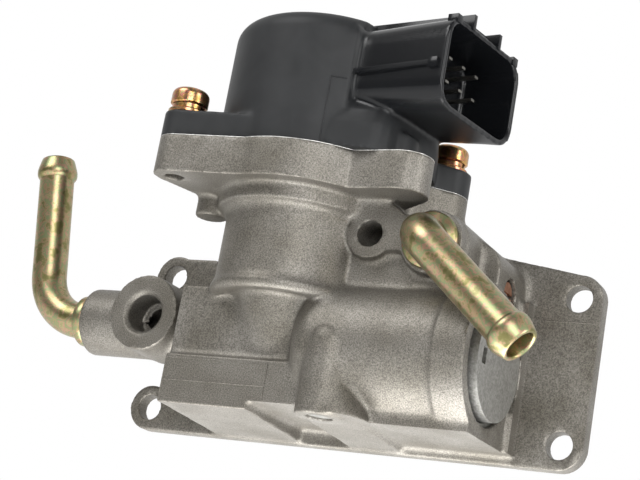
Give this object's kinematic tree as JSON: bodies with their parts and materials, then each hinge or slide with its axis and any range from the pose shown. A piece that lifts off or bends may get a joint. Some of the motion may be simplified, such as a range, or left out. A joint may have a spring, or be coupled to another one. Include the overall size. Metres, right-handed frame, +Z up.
{
  "type": "idle air control valve",
  "caption": "Idle air valve: cast body on a bolting flange with a round black stepper actuator, a plug socket, a side port and bent hose nipples.",
  "frame": {"origin": "centre of the flange's bolt hole pattern, on the mating face", "axes": "+Y out of the mating face towards the manifold, +Z up along the valve axis, +X along the flange towards the connector side"},
  "size_m": [0.1727, 0.0546, 0.1044],
  "materials": {
    "cast_alloy": "as cast",
    "black_plastic": "satin moulded",
    "zinc_yellow": "yellow zinc plated",
    "screw_gold": "yellow zinc plated",
    "steel": "plain",
    "copper": "copper coloured",
    "rubber": "plain",
    "ferrite": "ground",
    "brass": "turned",
    "white_plastic": "moulded"
  },
  "bodies": {
    "body": {"housing": "cast_alloy", "actuator_cover": "black_plastic", "connector_pins": "steel", "cover_seal": "rubber", "cover_bushings": "steel", "screw_washers": "screw_gold", "cover_screws": "screw_gold", "motor_end_plate": "steel", "stator_cup_lower": "steel", "stator_cup_upper": "steel", "bobbin_lower": "white_plastic", "bobbin_upper": "white_plastic", "coil_lower": "copper", "coil_upper": "copper", "bearing_lower": "brass", "bearing_upper": "brass", "return_spring": "steel", "valve_seat": "brass", "left_hose_nipple": "zinc_yellow", "right_hose_nipple": "zinc_yellow", "wax_element": "brass", "bypass_spring": "steel", "barrel_plug": "steel", "plug_seal": "rubber", "snap_ring": "steel", "adjusting_screw": "copper", "adjusting_seal": "rubber", "passage_plug": "steel"},
    "rotor": {"rotor_magnet": "ferrite", "rotor_nut": "white_plastic"},
    "spindle": {"valve_spindle": "steel", "valve_cone": "white_plastic"},
    "bypass": {"element_piston": "steel", "bypass_valve": "brass"}
  },
  "joints": [
    {"name": "rotor_turn", "type": "hinge", "parent": "body", "child": "rotor", "pos_m": [-0.01, -0.0265, 0.055], "axis": [0, 0, 1], "range_deg": [0, 1800]},
    {"name": "spindle_slide", "type": "slide", "parent": "body", "child": "spindle", "axis": [0, 0, 1], "range_m": [0, 0.007], "deforming": ["return_spring"]},
    {"name": "bypass_slide", "type": "slide", "parent": "body", "child": "bypass", "axis": [-1, 0, 0], "range_m": [0, 0.005], "deforming": ["bypass_spring"]}
  ],
  "couplings": [
    {"joint": "spindle_slide", "follows": "rotor_turn", "m_per_rad": 0.00022282}
  ]
}
